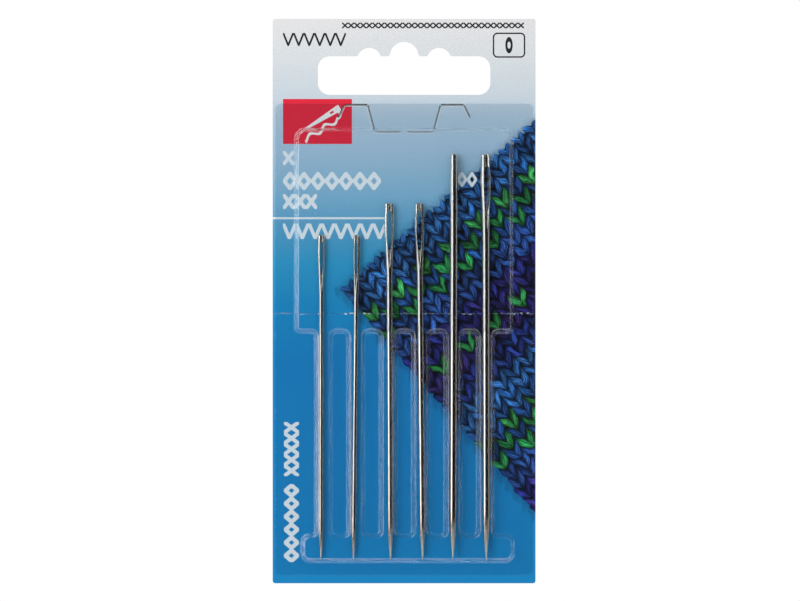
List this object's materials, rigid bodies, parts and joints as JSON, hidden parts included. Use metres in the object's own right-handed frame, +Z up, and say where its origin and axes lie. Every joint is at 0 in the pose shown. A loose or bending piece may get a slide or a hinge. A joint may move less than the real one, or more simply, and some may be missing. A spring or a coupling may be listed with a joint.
{
  "type": "yarn needle pack",
  "caption": "Retail hang card with a clear blister that holds loose yarn darning needles, each with a long grooved eye, in ribbed channels; the card folds open and has a bendable closing tongue.",
  "frame": {"origin": "top of the hang slot's middle bump, at the middle of the card's thickness, where a shop's hook carries the card", "axes": "X to the right as the printed face is seen, Y to the back of the card, Z up; the pack hangs at rest"},
  "size_m": [0.05, 0.0031, 0.1074],
  "materials": {
    "card": "offset-printed and varnished front, plain off-white back",
    "clear_sheet": "clear thermoformed, glossy",
    "plated_steel": "nickel-plated, polished"
  },
  "bodies": {
    "header": {"card_header": "card"},
    "pack": {"card_base": "card", "blister": "clear_sheet"},
    "tongue": {"card_tongue": "card"},
    "small_left": {"needle_small_left": "plated_steel"},
    "small_right": {"needle_small_right": "plated_steel"},
    "medium_left": {"needle_medium_left": "plated_steel"},
    "medium_right": {"needle_medium_right": "plated_steel"},
    "large_left": {"needle_large_left": "plated_steel"},
    "large_right": {"needle_large_right": "plated_steel"}
  },
  "joints": [
    {"name": "card_fold", "type": "hinge", "parent": "header", "child": "pack", "pos_m": [0, 0.00022, -0.05169], "axis": [1, 0, 0], "range_deg": [0, 150]},
    {"name": "tongue_bend", "type": "hinge", "parent": "header", "child": "tongue", "pos_m": [0, 0.00022, -0.01208], "axis": [1, 0, 0], "range_deg": [0, 60]},
    {"name": "small_left_slide", "type": "slide", "parent": "pack", "child": "small_left", "axis": [0.0016, 0, 1], "range_m": [0, 0.0197]},
    {"name": "small_right_slide", "type": "slide", "parent": "pack", "child": "small_right", "axis": [0.0104, 0, 0.9999], "range_m": [0, 0.0197]},
    {"name": "medium_left_slide", "type": "slide", "parent": "pack", "child": "medium_left", "axis": [-0.0038, 0, 1], "range_m": [0, 0.0136]},
    {"name": "medium_right_slide", "type": "slide", "parent": "pack", "child": "medium_right", "axis": [-0.0094, 0, 1], "range_m": [0, 0.0136]},
    {"name": "large_left_slide", "type": "slide", "parent": "pack", "child": "large_left", "axis": [0.0028, 0, 1], "range_m": [0, 0.0039]},
    {"name": "large_right_slide", "type": "slide", "parent": "pack", "child": "large_right", "axis": [-0.0014, 0, 1], "range_m": [0, 0.0041]}
  ]
}
